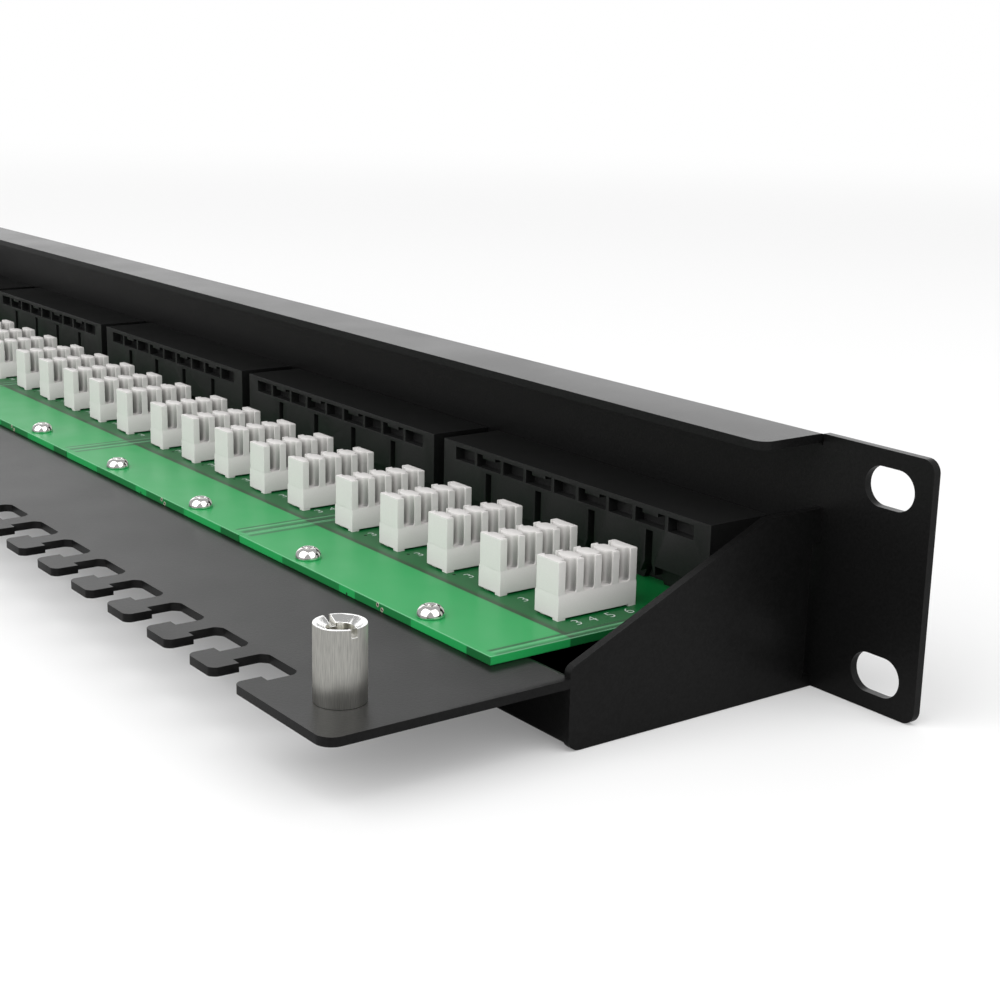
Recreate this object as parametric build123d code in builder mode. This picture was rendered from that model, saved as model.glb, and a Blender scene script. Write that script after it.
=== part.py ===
"""Telephone patch panel for a rack, 25 ports, one unit high, in millimetres.

X runs along the panel, the ports face -Y, the cable tray reaches out to +Y
and Z is up. The origin is the middle of the rack hole pattern on the back
face of the ears.
"""

import os
from math import radians, tan

from build123d import *

# Sheet steel chassis
sheet = 1.5
panel_length = 482.6
panel_height = 44.3
ear_corner_radius = 2.3
ear_reach = 22.65
bend_inside = 0.5
flange_depth = 15.44
flange_end_inset = 1.15
flange_corner_radius = 2.5
bend_relief = 0.25
riser_back = 52.8
tray_rise = 12.05
tray_end = 96.9
tray_corner_radius = 2.8

# Rack slots in the ears
rack_edge = 8.75
rack_pitch = 31.75
rack_slot_width = 6.8
rack_slot_length = 10.4

# Side walls
wall_shoulder = 31.65
wall_shoulder_depth = 12.75
wall_tip_height = 13.66
wall_past_riser = 0.65
wall_tip_radius = 1.5
wall_foot_radius = 2.2
wall_slit_width = 2.0
wall_slit_low = 1.85
wall_slit_high = 25.75

# Tie slots along the edge of the tray
tie_count = 25
tie_start = 30.45
tie_finish = 35.37
tie_mouth = 7.05
tie_pocket = 11.0
tie_depth = 10.6
tie_head = 4.8
tie_pocket_corner = 1.1
tie_head_corner = 0.9

# Circuit boards
board_count = 5
board_side_room = 10.4
board_gap = 0.3
board_thickness = 1.6
board_front = 1.0
board_past_riser = 7.48
board_end_trim = 1.1

# Jack housings
ports_per_board = 5
port_margin = 1.12
housing_spacing = 3.77
housing_depth = 13.7
housing_height = 14.08
nose_inset = 0.665
nose_height = 11.6
nose_rise = 1.4
nose_proud = 0.8
nose_clearance = 0.15
port_width = 11.7
port_height = 7.0
port_rise = 3.6
port_depth = 11.6
latch_width = 6.2
latch_height = 1.1
window_lid = 0.98
window_height = 2.65
window_depth = 2.2
plain_window_width = 6.55
window_web = 0.84
tab_side = 1.875
tab_drop = 0.68
slot_width = 1.85
slot_low = 3.7
slot_high = 9.6
slot_depth = 2.8
skirt_height = 3.31
skirt_setback = 1.57
leg_width = 1.0
leg_spread = 5.45

# Contact wires inside the ports
wires_per_port = 4
wire_pitch = 1.02
wire_width = 0.45
wire_root = 0.7
wire_start = 0.9
wire_reach = 7.2
wire_drop = 1.5

# Punch-down blocks
block_width = 6.4
block_length = 17.0
block_height = 10.2
block_base = 4.45
block_step = 0.28
block_offset_x = 2.42
block_middle_y = 32.5
ways_per_block = 4
way_pitch = 3.81
way_mouth = 2.4
way_throat = 0.65

# Board screws
screw_head = 4.66
screw_side_height = 1.3
screw_side_lean = 14
screw_crown_height = 0.9
screw_crown_lean = 43
screw_facets = 12
screw_inset = 3.33
screw_middle = 0.9
screw_spacing = 40.1

# Ground stud and the screw that holds it
stud_diameter = 8.1
stud_height = 12.1
stud_side_inset = 11.95
stud_back_inset = 9.7
stud_bore = 4.2
stud_sink = 6.9
stud_sink_angle = 120
stud_notch_width = 1.0
stud_notch_depth = 1.3
stud_screw_shank = 4.1
stud_screw_clearance = 0.05
stud_screw_reach = 6.0
stud_screw_head = 9.0
stud_screw_head_height = 3.0

# Widths and pitches that follow from the sizes above
body_width = panel_length - 2 * ear_reach
rack_span = panel_length - 2 * rack_edge
board_pitch = (body_width - 2 * board_side_room) / board_count
housing_width = board_pitch - housing_spacing
nose_width = housing_width - 2 * nose_inset
port_pitch = (housing_width + port_margin) / ports_per_board
tabbed_window_width = port_pitch - plain_window_width - 2 * window_web
tab_width = tabbed_window_width - 2 * tab_side
tie_pitch = (body_width - tie_start - tie_finish) / (tie_count - 1)
tie_middle = (tie_start - tie_finish) / 2

# Heights and places that follow from the sizes above
panel_top = panel_height / 2
floor_under = -panel_height / 2
tray_top = floor_under + tray_rise
board_top = tray_top + board_thickness
ear_width = ear_reach + flange_end_inset - bend_relief
ear_middle = (panel_length - ear_width) / 2
bend_outside = bend_inside + sheet
wall_depth = riser_back + wall_past_riser
board_back = riser_back + board_past_riser
window_rise = housing_height - window_lid - window_height
screw_line = board_back - screw_inset
stud_x = body_width / 2 - stud_side_inset
stud_y = tray_end - stud_back_inset
port_offsets = [port_pitch * (k - (ports_per_board - 1) / 2) for k in range(ports_per_board)]
gap_offsets = [port_pitch * (k - (ports_per_board - 2) / 2) for k in range(ports_per_board - 1)]
board_middles = [board_pitch * (k - (board_count - 1) / 2) for k in range(board_count)]
screw_places = [(x + screw_middle + side * screw_spacing / 2, screw_line) for x in board_middles for side in (-1, 1)]
nose_middle_z = board_top + nose_rise + nose_height / 2
port_middle_z = board_top + port_rise + port_height / 2
port_ceiling = port_middle_z + port_height / 2
stud_sink_depth = (stud_sink - stud_bore) / 2 / tan(radians(stud_sink_angle / 2))

os.makedirs("parts", exist_ok=True)

# One folded steel sheet: flange, panel, floor, riser and tray
with BuildPart() as chassis:
    with BuildSketch(Plane.YZ.offset(-body_width / 2)) as section:
        with BuildLine():
            outer = FilletPolyline(
                (flange_depth - sheet, panel_top),
                (-sheet, panel_top),
                (-sheet, floor_under),
                (riser_back, floor_under),
                (riser_back, tray_top - sheet),
                (tray_end, tray_top - sheet),
                radius=[bend_outside, bend_outside, bend_outside, bend_inside],
            )
            offset(outer, amount=sheet, side=Side.LEFT)
        make_face()
    extrude(amount=body_width)

    # The folds stop short of the body's ends, and the ears stand square beside them
    with BuildSketch(Plane.XZ.offset(sheet)) as fold_ends:
        with GridLocations(body_width - flange_end_inset, panel_height, 2, 2):
            Rectangle(flange_end_inset, 2 * bend_outside)
    extrude(amount=-flange_depth, mode=Mode.SUBTRACT)
    with BuildSketch(Plane.XZ) as ears:
        with Locations((-ear_middle, 0), (ear_middle, 0)):
            Rectangle(ear_width, panel_height)
        fillet(ears.vertices().group_by(Axis.X)[0] + ears.vertices().group_by(Axis.X)[-1], ear_corner_radius)
    extrude(amount=sheet)

    # Side walls folded up from the floor
    with BuildSketch(Plane.YZ.offset(body_width / 2 - sheet)) as wall:
        with BuildLine():
            Polyline(
                (0, floor_under),
                (wall_depth, floor_under),
                (wall_depth, floor_under + wall_tip_height),
                (wall_shoulder_depth, floor_under + wall_shoulder),
                (0, floor_under + wall_shoulder),
                close=True,
            )
        make_face()
        fillet(wall.vertices().group_by(Axis.X)[-1].sort_by(Axis.Y)[-1], wall_tip_radius)
        fillet(wall.vertices().group_by(Axis.X)[-1].sort_by(Axis.Y)[0], wall_foot_radius)
        with BuildLine():
            Polyline(
                (0, floor_under + wall_slit_low),
                (wall_slit_width, floor_under + wall_slit_low),
                (wall_slit_width, floor_under + wall_slit_high),
                (0, floor_under + wall_slit_high),
                close=True,
            )
        make_face(mode=Mode.SUBTRACT)
    walls = extrude(amount=sheet)
    mirror(walls, about=Plane.YZ)

    # Rounded corners of the flange and of the tray
    corners = chassis.edges().filter_by(Axis.Z)
    flange_corners = corners.filter_by_position(Axis.Z, panel_top - sheet, panel_top)
    fillet(flange_corners.group_by(Axis.Y)[-1], flange_corner_radius)
    fillet(chassis.edges().filter_by(Axis.Z).group_by(Axis.Y)[-1], tray_corner_radius)

    # Comb of tie slots with headed tongues
    with BuildSketch(Plane.XY.offset(tray_top)) as ties:
        with Locations((tie_middle, tray_end - tie_depth / 2)):
            with GridLocations(tie_pitch, 0, tie_count, 1):
                Rectangle(tie_mouth, tie_depth)
        with Locations((tie_middle, tray_end - (tie_depth + tie_head) / 2)):
            with GridLocations(tie_pitch, 0, tie_count, 1):
                Rectangle(tie_pocket, tie_depth - tie_head)
        chamfer(ties.vertices().group_by(Axis.Y)[0], tie_pocket_corner)
    extrude(amount=-sheet, mode=Mode.SUBTRACT)
    tongue_tips = chassis.edges().filter_by(Axis.Z).group_by(Axis.Y)[-1]
    chamfer(tongue_tips, tie_head_corner)

    # Windows for the jack housings, rack slots and the hole of the stud screw
    with BuildSketch(Plane.XZ.offset(sheet)) as openings:
        with Locations((0, nose_middle_z)):
            with GridLocations(board_pitch, 0, board_count, 1):
                Rectangle(nose_width + 2 * nose_clearance, nose_height + 2 * nose_clearance)
        with GridLocations(rack_span, rack_pitch, 2, 2):
            SlotOverall(rack_slot_length, rack_slot_width)
    extrude(amount=-sheet, mode=Mode.SUBTRACT)
    with Locations((-stud_x, stud_y, tray_top)):
        Hole(stud_screw_shank / 2 + stud_screw_clearance, sheet)
chassis.part.label = "chassis"
export_step(chassis.part, "parts/chassis.step")

# Circuit boards, side by side on the front of the tray
for number, middle in enumerate(board_middles, start=1):
    low_trim = board_end_trim if number == 1 else board_gap / 2
    high_trim = board_end_trim if number == board_count else board_gap / 2
    board_width = board_pitch - low_trim - high_trim
    with BuildPart() as circuit_board:
        with BuildSketch(Plane.XY.offset(tray_top)):
            with Locations((middle + (low_trim - high_trim) / 2, (board_front + board_back) / 2)):
                Rectangle(board_width, board_back - board_front)
        extrude(amount=board_thickness)
    circuit_board.part.label = f"circuit_board_{number}"
    export_step(circuit_board.part, f"parts/circuit_board_{number}.step")

# Moulded housing of five jacks, drawn on the middle board
with BuildPart() as jack_housing:
    with BuildSketch(Plane.XY.offset(board_top)):
        with Locations((0, housing_depth / 2)):
            Rectangle(housing_width, housing_depth)
    extrude(amount=housing_height)
    with BuildSketch(Plane.XZ):
        with Locations((0, nose_middle_z)):
            Rectangle(nose_width, nose_height)
    extrude(amount=sheet + nose_proud)

    # Plug openings with the latch side down
    with BuildSketch(Plane.XZ.offset(sheet + nose_proud)):
        with Locations((0, port_middle_z)):
            with GridLocations(port_pitch, 0, ports_per_board, 1):
                Rectangle(port_width, port_height)
        with Locations((0, port_middle_z - (port_height + latch_height) / 2)):
            with GridLocations(port_pitch, 0, ports_per_board, 1):
                Rectangle(latch_width, latch_height)
    extrude(amount=-port_depth, mode=Mode.SUBTRACT)

    # Windows along the top of the back, every second one with a tab
    with BuildSketch(Plane.XZ.offset(-housing_depth)):
        with Locations((0, board_top + window_rise + window_height / 2)):
            with GridLocations(port_pitch, 0, ports_per_board, 1):
                Rectangle(plain_window_width, window_height)
            with GridLocations(port_pitch, 0, ports_per_board - 1, 1):
                Rectangle(tabbed_window_width, window_height)
        with Locations((0, board_top + window_rise + window_height - tab_drop / 2)):
            with GridLocations(port_pitch, 0, ports_per_board - 1, 1):
                Rectangle(tab_width, tab_drop, mode=Mode.SUBTRACT)
    extrude(amount=window_depth, mode=Mode.SUBTRACT)

    # Tall slots between the jacks, spread into legs at the foot
    with BuildSketch(Plane.XZ.offset(-housing_depth)):
        with Locations((0, board_top + (slot_low + slot_high) / 2)):
            with GridLocations(port_pitch, 0, ports_per_board - 1, 1):
                Rectangle(slot_width, slot_high - slot_low)
        for x in gap_offsets:
            with BuildLine():
                Polyline(
                    (x - leg_spread / 2, board_top),
                    (x - slot_width / 2, board_top + slot_low),
                    (x + slot_width / 2, board_top + slot_low),
                    (x + leg_spread / 2, board_top),
                    close=True,
                )
            make_face()
    extrude(amount=slot_depth, mode=Mode.SUBTRACT)

    # Skirt set back between the legs
    with BuildSketch(Plane.XZ.offset(-housing_depth)):
        with Locations((0, board_top + skirt_height / 2)):
            Rectangle(housing_width, skirt_height)
            with GridLocations(port_pitch, 0, ports_per_board - 1, 1):
                Rectangle(slot_width + 2 * leg_width, skirt_height, mode=Mode.SUBTRACT)
    extrude(amount=skirt_setback, mode=Mode.SUBTRACT)

# Sprung contact wires of one housing, hung from the ceiling of each port
with BuildPart() as jack_contacts:
    for x in port_offsets:
        for way in range(wires_per_port):
            wire_x = x + wire_pitch * (way - (wires_per_port - 1) / 2)
            with BuildSketch(Plane.YZ.offset(wire_x - wire_width / 2)):
                with BuildLine():
                    Polyline(
                        (wire_start, port_ceiling),
                        (wire_start + wire_root, port_ceiling),
                        (wire_start + wire_reach, port_ceiling - wire_drop),
                        close=True,
                    )
                make_face()
            extrude(amount=wire_width)

# Punch-down block, drawn about its own middle on the board
with BuildPart() as idc_block:
    with BuildSketch(Plane.XY.offset(board_top)):
        Rectangle(block_width, block_length)
    extrude(amount=block_base)
    with BuildSketch(Plane.XY.offset(board_top + block_base)):
        Rectangle(block_width - 2 * block_step, block_length)
    extrude(amount=block_height - block_base)

    # Wire slots, wide at both mouths and narrow at the blade
    with BuildSketch(Plane.XY.offset(board_top + block_base)):
        with GridLocations(0, way_pitch, 1, ways_per_block):
            Polygon(
                (-block_width / 2, -way_mouth / 2),
                (0, -way_throat / 2),
                (block_width / 2, -way_mouth / 2),
                (block_width / 2, way_mouth / 2),
                (0, way_throat / 2),
                (-block_width / 2, way_mouth / 2),
            )
    extrude(amount=block_height - block_base, mode=Mode.SUBTRACT)

# Dome head of a board screw in flat facets, drawn at the origin on its seat
with BuildPart() as board_screw:
    with BuildSketch():
        RegularPolygon(screw_head / 2, screw_facets)
    extrude(amount=screw_side_height, taper=screw_side_lean)
    shoulder = board_screw.faces().sort_by(Axis.Z)[-1]
    extrude(shoulder, amount=screw_crown_height, taper=screw_crown_lean)

# Ground stud, bored through, countersunk and slotted at the top
with BuildPart() as ground_stud:
    with BuildSketch(Plane.XY.offset(tray_top)):
        with Locations((-stud_x, stud_y)):
            Circle(stud_diameter / 2)
            Circle(stud_bore / 2, mode=Mode.SUBTRACT)
    extrude(amount=stud_height)
    with Locations((-stud_x, stud_y, tray_top + stud_height - stud_sink_depth)):
        Cone(stud_bore / 2, stud_sink / 2, stud_sink_depth, align=(Align.CENTER, Align.CENTER, Align.MIN), mode=Mode.SUBTRACT)
    with BuildSketch(Plane.XY.offset(tray_top + stud_height)):
        with Locations((-stud_x, stud_y)):
            Rectangle(stud_diameter, stud_notch_width)
    extrude(amount=-stud_notch_depth, mode=Mode.SUBTRACT)
ground_stud.part.label = "ground_stud"
export_step(ground_stud.part, "parts/ground_stud.step")

# Screw that holds the stud from under the tray
with BuildPart() as stud_screw:
    with BuildSketch(Plane.XY.offset(tray_top - sheet)):
        with Locations((-stud_x, stud_y)):
            RegularPolygon(stud_screw_head / 2, 6)
    extrude(amount=-stud_screw_head_height)
    with BuildSketch(Plane.XY.offset(tray_top - sheet)):
        with Locations((-stud_x, stud_y)):
            Circle(stud_screw_shank / 2)
    extrude(amount=sheet + stud_screw_reach)
stud_screw.part.label = "stud_screw"
export_step(stud_screw.part, "parts/stud_screw.step")

# Copies of the drawn pieces on each board
block_number = 0
for number, middle in enumerate(board_middles, start=1):
    housing = jack_housing.part.moved(Location((middle, 0, 0)))
    housing.label = f"jack_housing_{number}"
    export_step(housing, f"parts/jack_housing_{number}.step")
    contacts = jack_contacts.part.moved(Location((middle, 0, 0)))
    contacts.label = f"jack_contacts_{number}"
    export_step(contacts, f"parts/jack_contacts_{number}.step")
    for x in port_offsets:
        block_number += 1
        block = idc_block.part.moved(Location((middle + x + block_offset_x, block_middle_y, 0)))
        block.label = f"idc_block_{block_number:02d}"
        export_step(block, f"parts/idc_block_{block_number:02d}.step")

# All board screws are one group
screws = Compound(
    label="board_screws",
    children=[board_screw.part.moved(Location((x, y, board_top))) for x, y in screw_places],
)
export_step(screws, "parts/board_screws.step")
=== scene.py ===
"""Telephone patch panel seen from behind, dressed over its CAD frame.

The sections follow the panel as it is put together: the folded steel
chassis, the circuit boards and their print, the jack housings and their
contacts, the punch-down blocks, the board screws and the ground stud. The
studio, the lamps and the camera come last.
"""

import math

import bmesh
import bpy
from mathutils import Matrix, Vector


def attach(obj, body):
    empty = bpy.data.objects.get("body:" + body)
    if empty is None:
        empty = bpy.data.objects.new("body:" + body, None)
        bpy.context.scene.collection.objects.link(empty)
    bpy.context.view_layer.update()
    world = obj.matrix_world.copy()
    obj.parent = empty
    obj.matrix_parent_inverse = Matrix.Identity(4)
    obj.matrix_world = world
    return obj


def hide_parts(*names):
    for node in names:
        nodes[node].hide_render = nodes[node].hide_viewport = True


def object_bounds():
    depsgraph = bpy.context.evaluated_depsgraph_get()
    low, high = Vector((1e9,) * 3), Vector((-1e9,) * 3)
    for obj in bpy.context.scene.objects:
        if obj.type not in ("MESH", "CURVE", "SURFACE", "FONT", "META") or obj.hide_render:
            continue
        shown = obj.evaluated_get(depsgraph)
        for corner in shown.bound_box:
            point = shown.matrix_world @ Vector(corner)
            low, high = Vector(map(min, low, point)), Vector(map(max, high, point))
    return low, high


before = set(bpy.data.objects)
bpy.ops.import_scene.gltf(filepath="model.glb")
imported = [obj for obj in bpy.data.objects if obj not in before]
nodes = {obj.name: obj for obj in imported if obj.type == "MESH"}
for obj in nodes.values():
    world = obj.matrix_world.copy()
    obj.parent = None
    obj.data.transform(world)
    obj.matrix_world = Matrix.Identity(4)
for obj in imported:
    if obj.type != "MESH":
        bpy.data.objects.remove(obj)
cad_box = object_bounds()


# Chassis. One sheet of 1.5 mm steel, laser cut and folded, then powder coated
# in satin black. The coat rounds the cut edges a little and has a very fine
# orange-peel grain. Everything else is fixed to it.
def merged_mesh(node, name):
    """A copy of a CAD node's mesh with its corners merged and its flat faces whole."""
    mesh = nodes[node].data.copy()
    mesh.name = name
    cleaner = bmesh.new()
    cleaner.from_mesh(mesh)
    bmesh.ops.remove_doubles(cleaner, verts=cleaner.verts, dist=0.000005)
    bmesh.ops.dissolve_limit(cleaner, angle_limit=math.radians(1.0), verts=cleaner.verts, edges=cleaner.edges)
    cleaner.to_mesh(mesh)
    cleaner.free()
    mesh.materials.clear()
    return mesh


def rounded_piece(mesh, edge, segments, finish):
    """An object from a mesh, with its sharp edges rounded and one finish."""
    piece = bpy.data.objects.new(mesh.name, mesh)
    bpy.context.collection.objects.link(piece)
    mesh.materials.append(finish)
    rounding = piece.modifiers.new("rounded_edges", "BEVEL")
    rounding.width = edge
    rounding.segments = segments
    rounding.limit_method = "ANGLE"
    rounding.angle_limit = math.radians(40)
    rounding.harden_normals = True
    for face in mesh.polygons:
        face.use_smooth = True
    mesh.set_sharp_from_angle(angle=math.radians(40))
    return piece


def grain_group():
    """Fine grain for a coat or a moulding, as a height, a mottle and a roughness."""
    group = bpy.data.node_groups.new("fine grain", "ShaderNodeTree")
    for name, value in (("Coarse Scale", 900.0), ("Fine Scale", 3200.0), ("Fine Share", 0.4), ("Smoothest", 0.35), ("Roughest", 0.5)):
        group.interface.new_socket(name, in_out="INPUT", socket_type="NodeSocketFloat").default_value = value
    for name in ("Height", "Mottle", "Roughness"):
        group.interface.new_socket(name, in_out="OUTPUT", socket_type="NodeSocketFloat")
    add = group.nodes.new
    link = group.links.new
    inputs = add("NodeGroupInput")
    outputs = add("NodeGroupOutput")
    place = add("ShaderNodeTexCoord")
    coarse = add("ShaderNodeTexNoise")
    fine = add("ShaderNodeTexNoise")
    patches = add("ShaderNodeTexNoise")
    blend = add("ShaderNodeMix")
    span = add("ShaderNodeMapRange")
    patches.inputs["Scale"].default_value = 55.0
    for grain in (coarse, fine, patches):
        grain.inputs["Detail"].default_value = 2.0
        link(place.outputs["Object"], grain.inputs["Vector"])
    link(inputs.outputs["Coarse Scale"], coarse.inputs["Scale"])
    link(inputs.outputs["Fine Scale"], fine.inputs["Scale"])
    link(inputs.outputs["Fine Share"], blend.inputs["Factor"])
    link(coarse.outputs["Fac"], blend.inputs["A"])
    link(fine.outputs["Fac"], blend.inputs["B"])
    link(blend.outputs["Result"], outputs.inputs["Height"])
    link(coarse.outputs["Fac"], outputs.inputs["Mottle"])
    link(patches.outputs["Fac"], span.inputs["Value"])
    span.inputs["From Min"].default_value = 0.3
    span.inputs["From Max"].default_value = 0.7
    link(inputs.outputs["Smoothest"], span.inputs["To Min"])
    link(inputs.outputs["Roughest"], span.inputs["To Max"])
    link(span.outputs["Result"], outputs.inputs["Roughness"])
    return group


fine_grain = grain_group()


def grained(name, dark, light, roughness, bump, scale, specular):
    """A coat or moulding with a fine grain, a mottled tone and an uneven gloss."""
    finish = bpy.data.materials.new(name)
    finish.use_nodes = True
    tree = finish.node_tree
    shader = tree.nodes["Principled BSDF"]
    shader.inputs["Specular IOR Level"].default_value = specular
    grain = tree.nodes.new("ShaderNodeGroup")
    grain.node_tree = fine_grain
    grain.inputs["Coarse Scale"].default_value = scale
    grain.inputs["Fine Scale"].default_value = 3.5 * scale
    grain.inputs["Smoothest"].default_value = roughness[0]
    grain.inputs["Roughest"].default_value = roughness[1]
    tones = tree.nodes.new("ShaderNodeValToRGB")
    tones.color_ramp.elements[0].position = 0.3
    tones.color_ramp.elements[0].color = (*dark, 1.0)
    tones.color_ramp.elements[1].position = 0.7
    tones.color_ramp.elements[1].color = (*light, 1.0)
    relief = tree.nodes.new("ShaderNodeBump")
    relief.inputs["Strength"].default_value = bump
    relief.inputs["Distance"].default_value = 0.00004
    tree.links.new(grain.outputs["Mottle"], tones.inputs["Fac"])
    tree.links.new(tones.outputs["Color"], shader.inputs["Base Color"])
    tree.links.new(grain.outputs["Roughness"], shader.inputs["Roughness"])
    tree.links.new(grain.outputs["Height"], relief.inputs["Height"])
    tree.links.new(relief.outputs["Normal"], shader.inputs["Normal"])
    return finish


def round_comb(mesh, start):
    """Softens the slanted upright corners of the tie slots that lie past start in Y."""
    shaper = bmesh.new()
    shaper.from_mesh(mesh)
    corners = []
    for edge in shaper.edges:
        a, b = (vertex.co for vertex in edge.verts)
        upright = abs(a.x - b.x) < 0.00001 and abs(a.y - b.y) < 0.00001 and abs(abs(a.z - b.z) - 0.0015) < 0.0001
        if upright and a.y > start and -0.2 < a.x and math.radians(25) < edge.calc_face_angle(0.0) < math.radians(60):
            corners.append(edge)
    bmesh.ops.bevel(shaper, geom=corners, offset=0.0004, segments=4, profile=0.5, affect="EDGES")
    shaper.to_mesh(mesh)
    shaper.free()


powder_coat = grained("satin black powder coat", (0.0030, 0.0030, 0.0030), (0.0058, 0.0058, 0.0058), (0.31, 0.35), 0.75, 1900.0, 0.2)
chassis_mesh = merged_mesh("chassis", "folded_chassis")
round_comb(chassis_mesh, 0.0855)
chassis = rounded_piece(chassis_mesh, 0.00018, 2, powder_coat)
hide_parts("chassis")
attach(chassis, "root")


# Circuit boards. Five glass-fibre boards under green solder mask, screwed to
# the front of the tray. The copper under the mask shows as a paler strip along
# the back edge, and ends in a crease beside each joint. The crease is drawn
# as pale and dark lines of painted highlight and painted shade.
def board_layout_group():
    """Masks of the copper strip, of the painted highlight and painted shade at its creases, and of the paler stretches
    of the cut edge.
    """
    group = bpy.data.node_groups.new("board layout", "ShaderNodeTree")
    for name, kind in (("Strip", "NodeSocketColor"), ("Pale Crease", "NodeSocketFloat"), ("Dark Crease", "NodeSocketFloat"), ("Pale Edge", "NodeSocketFloat")):
        group.interface.new_socket(name, in_out="OUTPUT", socket_type=kind)
    add = group.nodes.new
    link = group.links.new
    outputs = add("NodeGroupOutput")
    place = add("ShaderNodeTexCoord")
    split = add("ShaderNodeSeparateXYZ")
    link(place.outputs["Object"], split.inputs["Vector"])

    pitch = add("ShaderNodeMath")
    pitch.operation = "MULTIPLY_ADD"
    pitch.inputs[1].default_value = 1 / 0.0833
    pitch.inputs[2].default_value = 0.5
    link(split.outputs["X"], pitch.inputs[0])
    across = add("ShaderNodeMath")
    across.operation = "FRACT"
    link(pitch.outputs["Value"], across.inputs[0])

    depth = add("ShaderNodeMapRange")
    depth.inputs["From Min"].default_value = 0.0
    depth.inputs["From Max"].default_value = 0.062
    link(split.outputs["Y"], depth.inputs["Value"])
    strip = add("ShaderNodeValToRGB")
    strip.color_ramp.elements[0].position = 0.0
    strip.color_ramp.elements[0].color = (0.003, 0.105, 0.024, 1.0)
    strip.color_ramp.elements[1].position = 1.0
    strip.color_ramp.elements[1].color = (0.017, 0.300, 0.080, 1.0)
    for position, colour in ((0.690, (0.003, 0.105, 0.024)), (0.702, (0.016, 0.048, 0.018)), (0.711, (0.016, 0.048, 0.018)), (0.716, (0.017, 0.290, 0.078))):
        stop = strip.color_ramp.elements.new(position)
        stop.color = (*colour, 1.0)
    link(depth.outputs["Result"], strip.inputs["Fac"])
    link(strip.outputs["Color"], outputs.inputs["Strip"])

    inland = add("ShaderNodeMapRange")
    inland.inputs["From Min"].default_value = 0.0594
    inland.inputs["From Max"].default_value = 0.0586
    link(split.outputs["Y"], inland.inputs["Value"])
    # Painted highlight (the pale lines) and painted shade (the dark lines) across the board, at the step where the
    # mask crosses the copper's end.
    crease_highlight = [(0.0, 0.0), (0.0260, 0.0), (0.0300, 1.0), (0.0345, 0.0), (0.9890, 0.0), (0.9935, 1.0), (0.9980, 0.0)]
    dark = [(0.0, 0.45), (0.0138, 0.9), (0.0190, 0.45), (0.0250, 0.3), (0.0275, 0.0), (0.0340, 0.0), (0.0370, 1.0), (0.0420, 1.0), (0.0450, 0.0), (0.9680, 0.0), (0.9770, 1.0), (0.9850, 0.2), (0.9890, 0.0), (0.9985, 0.35)]
    for stops, socket in ((crease_highlight, "Pale Crease"), (dark, "Dark Crease")):
        crease = add("ShaderNodeValToRGB")
        crease.color_ramp.elements[0].position = 0.0
        crease.color_ramp.elements[0].color = (stops[0][1],) * 3 + (1.0,)
        crease.color_ramp.elements[1].position = 1.0
        crease.color_ramp.elements[1].color = (stops[-1][1],) * 3 + (1.0,)
        for position, value in stops[1:]:
            stop = crease.color_ramp.elements.new(position)
            stop.color = (value, value, value, 1.0)
        masked = add("ShaderNodeMath")
        masked.operation = "MULTIPLY"
        link(across.outputs["Value"], crease.inputs["Fac"])
        link(crease.outputs["Color"], masked.inputs[0])
        link(inland.outputs["Result"], masked.inputs[1])
        link(masked.outputs["Value"], outputs.inputs[socket])

    edge = add("ShaderNodeValToRGB")
    edge.color_ramp.interpolation = "CONSTANT"
    edge.color_ramp.elements[0].position = 0.0
    edge.color_ramp.elements[0].color = (0.0, 0.0, 0.0, 1.0)
    edge.color_ramp.elements[1].position = 0.794
    edge.color_ramp.elements[1].color = (1.0, 1.0, 1.0, 1.0)
    for position, value in ((0.0075, 0.0), (0.0860, 1.0), (0.2790, 0.2), (0.4916, 1.0), (0.5516, 0.25)):
        stop = edge.color_ramp.elements.new(position)
        stop.color = (value, value, value, 1.0)
    link(across.outputs["Value"], edge.inputs["Fac"])
    side = add("ShaderNodeMapRange")
    side.inputs["From Min"].default_value = 0.04425
    side.inputs["From Max"].default_value = 0.04435
    link(split.outputs["Y"], side.inputs["Value"])
    facing = add("ShaderNodeNewGeometry")
    turned = add("ShaderNodeSeparateXYZ")
    link(facing.outputs["Normal"], turned.inputs["Vector"])
    rear = add("ShaderNodeMath")
    rear.operation = "GREATER_THAN"
    rear.inputs[1].default_value = 0.5
    link(turned.outputs["Y"], rear.inputs[0])
    pick = add("ShaderNodeMix")
    link(rear.outputs["Value"], pick.inputs["Factor"])
    link(side.outputs["Result"], pick.inputs["A"])
    link(edge.outputs["Color"], pick.inputs["B"])
    link(pick.outputs["Result"], outputs.inputs["Pale Edge"])
    return group


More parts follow.
